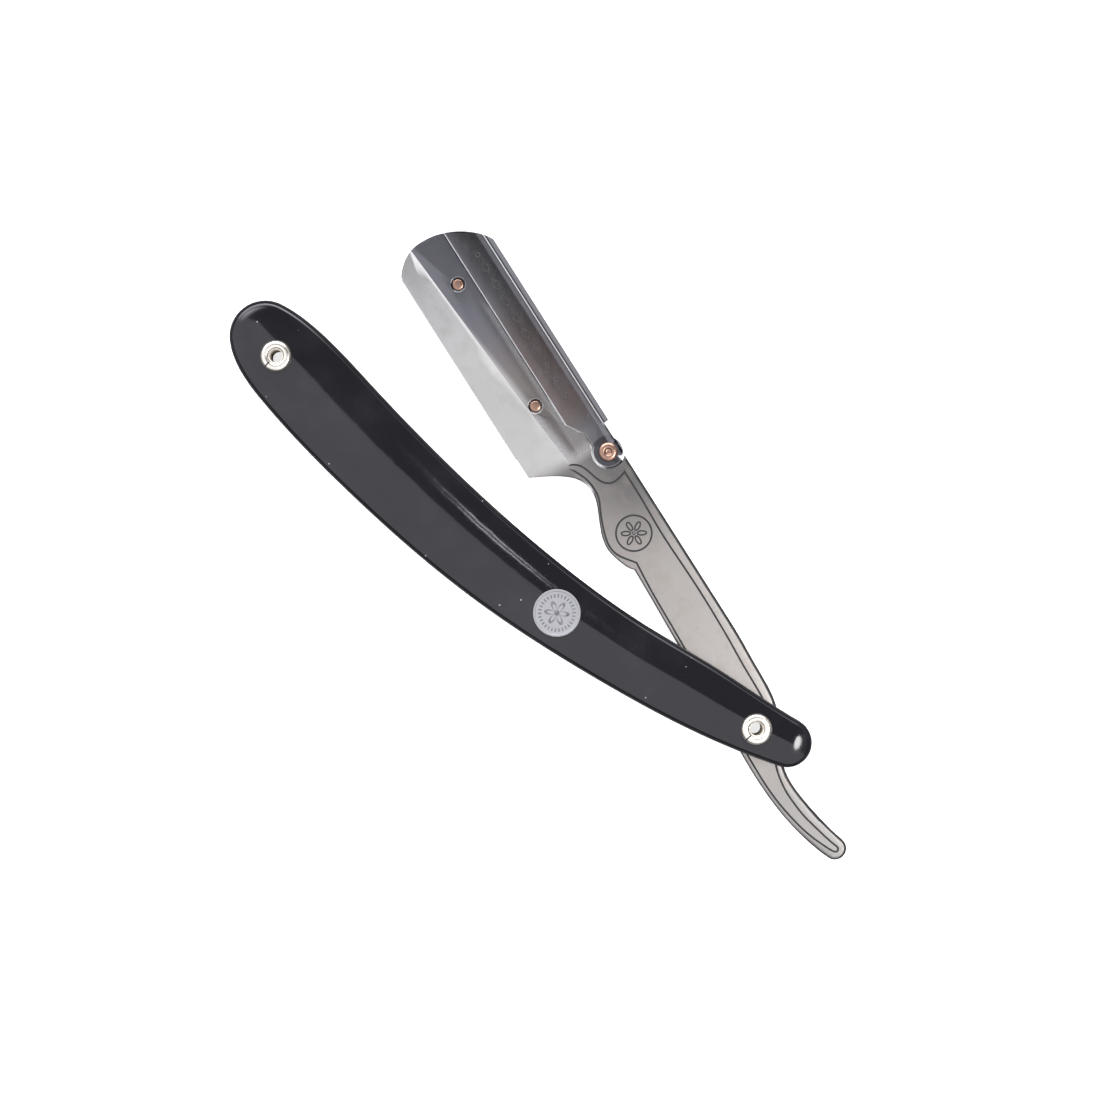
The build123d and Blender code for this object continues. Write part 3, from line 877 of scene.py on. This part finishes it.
def groove_path():
    """The engraved line round the tang as one flat path in millimetres of the shut razor."""
    left = smooth_line([
        (-65.1, -5.03), (-63.9, -3.5), (-62.2, -2.5), (-60.5, -1.84), (-58.2, -1.55), (-56.2, -1.74),
        (-53.9, -2.76), (-51.1, -4.0), (-48.6, -4.85), (-46.5, -5.16), (-44.4, -4.7), (-42.8, -3.7),
        (-41.0, -2.33)], 0.4)
    low = smooth_line([
        (-41.0, -2.33), (-35.4, -2.8), (-27.3, -3.15), (-19.9, -3.45), (-12.0, -3.75), (-4.0, -4.05),
        (4.5, -4.3), (9.2, -4.42), (14.0, -4.25), (19.35, -3.5), (24.9, -2.03), (27.8, -0.82),
        (29.2, -0.08), (29.62, 0.45), (29.3, 0.98), (28.5, 0.92), (26.0, 0.14), (23.3, -0.52),
        (20.3, -1.2), (17.8, -1.52), (15.6, -1.66), (13.3, -1.62), (11.07, -1.3), (8.8, -0.7),
        (6.0, 0.6), (2.5, 2.75), (-1.5, 4.05), (-5.8, 4.5), (-9.6, 4.62), (-13.6, 4.78),
        (-18.0, 5.05), (-22.0, 5.2), (-29.7, 5.33), (-37.0, 5.2), (-44.0, 5.12), (-48.2, 5.28),
        (-52.2, 5.42), (-57.7, 5.45)], 0.4)
    neck = smooth_line([
        (-57.7, 5.45), (-57.25, 3.8), (-57.2, 2.2), (-58.0, 0.9), (-59.7, -0.04), (-61.6, -0.6),
        (-63.3, -1.3), (-64.5, -2.6), (-64.95, -3.84)], 0.4)
    return np.concatenate([left, low[1:], neck[1:]])


def flower_runs(centre, lift):
    """A ring, six oval petals and a round core, each as path, radius, height and looped.

    A petal is the ellipse (1.6 + 0.92 cos t, 0.42 sin t), turned by a sixth of a round for each."""
    runs = [(arc(centre, 3.6, 0, 356, 90), 0.19, lift, True),
            (arc(centre, 0.27, 0, 345, 24), 0.11, lift, True)]
    t = np.linspace(0, 2 * math.pi, 40, endpoint=False)
    petal = np.stack([1.6 + 0.92 * np.cos(t), 0.42 * np.sin(t)], -1)
    for k in range(6):
        c, s = math.cos(k * math.pi / 3), math.sin(k * math.pi / 3)
        runs.append((centre + petal @ np.array([[c, s], [-s, c]]), 0.16, lift, True))
    return runs


class RAZOR_OT_arm(bpy.types.Operator):
    """Tang, tail and front leaf in one piece of steel, eased at its edges and engraved"""
    bl_idname = "razor.arm"
    bl_label = "Arm"

    def execute(self, context):
        sizes, colours = chosen(context)
        steel = material("satin_steel", arm_steel, colours.steel)
        dark = material("blackened_groove", blackened, colours.groove)
        made = merged_copy("blade_arm", "arm_steel", steel)
        middle, fold, side = edge_facts(made.data)
        x, y, z = middle.T
        sharp = fold > SHARP_FOLD
        outer = sharp & (np.abs(np.abs(z) - HALF_ARM) < 0.02) & (np.abs(side[:, 2]) < 0.2)
        rim = outer & (np.hypot(x, y) > 1.9) & (x > -66.5)
        spine = ramp(0.35, 0.75, side[:, 1]) * ramp(-60.3, -59.0, x)
        tail = ramp(20.0, 26.0, x)
        under = ramp(-66.0, -60.0, x) * np.maximum(tail, ramp(0.1, -0.3, side[:, 1]))
        weights = np.where(rim, 0.12 + 0.88 * spine * (1 - tail) + 0.38 * under + 0.3 * tail, 0.0)
        weights = np.where(sharp & ~rim & (y > -10.8), 0.18, weights)
        ease_edges(made, sizes.spine_ease / MM, weights)
        lift = HALF_ARM + CUT_LIFT
        runs = [(groove_path(), sizes.groove_radius / MM, lift, False)]
        runs += flower_runs(np.array([-46.3, 0.4]), lift)
        split_faces(made)
        cut(made, bars("lines", runs, dark))
        place(shade(split_faces(made), 38, True), "arm", "brushed_steel", "blade_arm")
        return {"FINISHED"}


def lozenge_runs(lift):
    """A row of eight lozenges with small rings at its ends, each as path, radius, height and looped."""
    runs = []
    line, wide, tall = 0.1, 1.25, 0.75
    for k in range(8):
        cx, cy = -107.5 + 3.9 * k, 3.95 - 0.08 * k
        corners = np.array([(cx - wide, cy), (cx, cy + tall), (cx + wide, cy), (cx, cy - tall)])
        share = np.linspace(0, 1, 5)[:-1, None]
        path = np.concatenate([a + (b - a) * share for a, b in zip(corners, np.roll(corners, -1, 0))])
        runs.append((path, line, lift, True))
    for centre in ((-110.4, 4.0), (-76.6, 3.4), (-71.6, 5.2)):
        runs.append((arc(centre, 0.42, 0, 340, 18), line, lift, True))
    return runs


class RAZOR_OT_cover(bpy.types.Operator):
    """Folded cover over the spine of the head, with a row of plain lozenges on its flange"""
    bl_idname = "razor.cover"
    bl_label = "Swing cover"

    def execute(self, context):
        colours = context.scene.razor_colours
        sheet = material("polished_sheet", mirror_steel, colours.sheet)
        dark = material("etched_line", plated, (0.10, 0.095, 0.095), 0.5, 0.7)
        made = merged_copy("swing_cover", "cover_sheet", sheet)
        middle, fold, _ = edge_facts(made.data)
        x, y, _ = middle.T
        free = (y < 4.0) & (np.abs(x + 95.0) < 12)
        heel = (y > 5.5) & (x > -69.5)
        weights = np.where(free, 0.33, np.where(heel, 0.04, 0.15))
        ease_edges(made, 1.0, np.where((fold > SHARP_FOLD) & (y > -10.9), weights, 0.0))
        split_faces(made)
        cut(made, bars("lozenges", lozenge_runs(HALF_ARM + 0.05), dark))
        place(shade(split_faces(made), 38, True), "cover", "polished_steel", "swing_cover")
        return {"FINISHED"}


class RAZOR_OT_rivet(bpy.types.Operator):
    """Copper rivet that the cover turns on, and the two pins that hold the half blade"""
    bl_idname = "razor.rivet"
    bl_label = "Rivet and pins"

    def execute(self, context):
        sizes, colours = chosen(context)
        copper = material("bare_copper", plated, colours.copper, 0.2, 0.62)
        low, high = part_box("cover_rivet")
        top, foot = high.z / MM, low.z / MM
        head = smooth_line([(1.95, SHEET_SEAT + 0.08), (1.9, top - 0.3), (1.68, top - 0.13),
                            (1.3, top - 0.02), (1.0, top - 0.01), (0.78, top - 0.08), (0.58, top - 0.24),
                            (0.3, top - 0.31), (0.0, top - 0.32)], count=36, start=(0, 1), end=(-1, 0))
        shank = [(0, foot), (1.2, foot), (1.55, foot + 0.07), (1.78, foot + 0.24), (1.8, -SHEET_SEAT),
                 (1.0, -SHEET_SEAT), (1.0, SHEET_SEAT), (1.9, SHEET_SEAT)]
        rivet = turned(shank + head.tolist(), middle_of("cover_rivet"), sizes.round_steps, closed=False)
        place(shade(rivet.make("rivet_copper", copper), 45), "arm", "copper", "cover_rivet")
        for name, node in (("pin_toe", "locating_pin_toe"), ("pin_heel", "locating_pin_heel")):
            low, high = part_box(node)
            foot, top = low.z / MM, high.z / MM
            radius = (high.x - low.x) / 2 / MM
            profile = [(0, foot), (radius - 0.1, foot), (radius, foot + 0.1), (radius, top - 0.18),
                       (radius - 0.05, top - 0.08), (radius - 0.16, top - 0.03), (radius * 0.5, top),
                       (0, top - 0.01)]
            pin = turned(profile, middle_of(node), 64, closed=False).make(name, copper)
            place(shade(pin, 45), "arm", "copper", node)
        return {"FINISHED"}


class RAZOR_OT_blade(bpy.types.Operator):
    """Finish of the half blade between the leaf and the cover"""
    bl_idname = "razor.blade"
    bl_label = "Half blade"

    def execute(self, context):
        finish = material("half_blade_finish", plated, context.scene.razor_colours.blade, 0.2, 0.8)
        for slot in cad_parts["half_blade"].material_slots:
            slot.material = finish
        return {"FINISHED"}


# ---------------- the stage

def write_sky(f):
    """Soft light by direction, the same all round for what the camera sees straight.

    With u = y / z and v = x / z of a direction, the light is pale where u is negative. A dark panel lies
    at u above a small number, with a pale strip at its end and two thin tubes beside its edge. A bright
    patch stands low behind the razor."""
    out = f.node("ShaderNodeTexCoord", out=0)
    x, y, z = f.parts(out)
    up = f.maths("MAXIMUM", z, 0.02)
    u = y / up
    v = x / up
    wide = f.maths("ABSOLUTE", v + 0.1)
    panel = f.between(0.034, 0.037, u) * f.between(2.2, 1.6, wide)
    strip = f.between(0.86, 0.90, u) * f.between(1.16, 1.12, u) * f.between(1.3, 1.1, wide)
    near = f.between(-1.5, -1.0, u) * f.between(2.2, 1.5, wide)
    short = f.between(0.012, 0.006, f.maths("ABSOLUTE", v + 0.006))
    first = f.between(0.0035, 0.002, f.maths("ABSOLUTE", u - 0.108))
    second = f.between(0.0035, 0.002, f.maths("ABSOLUTE", u - 0.129))
    tubes = (first + second) * short
    flat = f.maths("SQRT", u * u + v * v + 0.0001)
    behind = f.between(0.62, 0.85, (u * 0.67 - v * 0.74) / flat)
    behind = behind * f.between(0.5, 0.8, flat) * f.between(2.2, 1.6, flat)
    light = near * (1 - panel) * 1.19 + panel * 0.02 + tubes * 16.0 + strip * 1.7 + behind * 6.5 + 0.13
    seen = f.node("ShaderNodeLightPath")
    grey = light * (1 - seen) + seen * 1.0
    tinted = f.node("ShaderNodeCombineColor", {}, {0: grey, 1: grey, 2: grey * (1.06 - seen * 0.06)})
    back = f.node("ShaderNodeBackground", {}, {"Color": tinted, "Strength": 1.0})
    f.node("ShaderNodeOutputWorld", {}, {"Surface": back})


def lamp(name, spot, aim, size, power):
    """Oval light at spot, in metres, that faces aim."""
    data = bpy.data.lights.new(name, "AREA")
    data.shape = "ELLIPSE"
    data.size, data.size_y = size
    data.energy = power
    made = linked(name, data)
    direction = np.array(aim, float) - np.array(spot, float)
    z = -direction / np.linalg.norm(direction)
    x = np.cross((0, 0, 1), z)
    x /= np.linalg.norm(x)
    turn = np.column_stack([x, np.cross(z, x), z])
    made.matrix_world = Matrix.Translation(spot) @ Matrix(turn.tolist()).to_4x4()
    made.visible_camera = False
    return made


class RAZOR_OT_stage(bpy.types.Operator):
    """Pale floor, soft light and the camera"""
    bl_idname = "razor.stage"
    bl_label = "Stage"

    def execute(self, context):
        scene = context.scene
        sizes, colours = scene.razor_sizes, scene.razor_colours
        floor_reach, floor_gap = 3.0, 0.01
        side = np.linspace(-floor_reach, floor_reach, 13) / MM
        a, b = np.meshgrid(side, side, indexing="ij")
        grid = np.stack([a, b, np.full_like(a, cad_box[0].z / MM - floor_gap)], -1)
        floor = Skin().grid(grid).make("floor", material("pale_floor", floor_finish, colours.floor))
        if floor.data.polygons[0].normal.z < 0:
            floor.data.flip_normals()

        world = bpy.data.worlds.new("studio")
        world.use_nodes = True
        write_sky(Finish(world.node_tree))
        scene.world = world

        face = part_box("pivot_eyelet")[1].z
        centre = np.array([-0.0557, 0.0031])
        right = np.array([math.cos(sizes.view_turn), math.sin(sizes.view_turn)])
        ahead = np.array([-right[1], right[0]])
        near_cap = centre + right * 0.21 - ahead * 0.06
        lamp("cap_light", (*near_cap, 0.52), (*centre, 0), (0.19, 0.105), 0.95)

        data = bpy.data.cameras.new("camera")
        data.sensor_width = 36.0
        data.lens = data.sensor_width * sizes.camera_height / sizes.view_width
        data.clip_start, data.clip_end = 0.05, 20
        camera = linked("camera", data)
        camera.location = (*centre, face + sizes.camera_height)
        camera.rotation_euler = (0, 0, sizes.view_turn)
        scene.camera = camera
        scene.view_settings.view_transform = "Standard"
        return {"FINISHED"}


class RAZOR_PT_panel(bpy.types.Panel):
    """Sizes, colours and the steps of the razor"""
    bl_idname = "RAZOR_PT_panel"
    bl_label = "Razor"
    bl_space_type = "VIEW_3D"
    bl_region_type = "UI"
    bl_category = "Razor"

    def draw(self, context):
        layout = self.layout
        for group in (context.scene.razor_sizes, context.scene.razor_colours):
            box = layout.box()
            for name in group.bl_rna.properties.keys():
                if name not in ("rna_type", "name"):
                    box.prop(group, name)
        for step in STEPS:
            layout.operator(step.bl_idname)


STEPS = (RAZOR_OT_scales, RAZOR_OT_badge, RAZOR_OT_eyelets, RAZOR_OT_spacers, RAZOR_OT_arm, RAZOR_OT_cover,
         RAZOR_OT_rivet, RAZOR_OT_blade, RAZOR_OT_stage)
GROUPS = (RazorSizes, RazorColours)


def register():
    for kind in GROUPS + STEPS + (RAZOR_PT_panel,):
        bpy.utils.register_class(kind)
    bpy.types.Scene.razor_sizes = PointerProperty(type=RazorSizes)
    bpy.types.Scene.razor_colours = PointerProperty(type=RazorColours)


def unregister():
    del bpy.types.Scene.razor_colours
    del bpy.types.Scene.razor_sizes
    for kind in reversed(GROUPS + STEPS + (RAZOR_PT_panel,)):
        bpy.utils.unregister_class(kind)


def main():
    """Makes the whole razor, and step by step."""
    register()
    for step in STEPS:
        group, name = step.bl_idname.split(".")
        getattr(getattr(bpy.ops, group), name)()


if __name__ == "__main__":
    main()
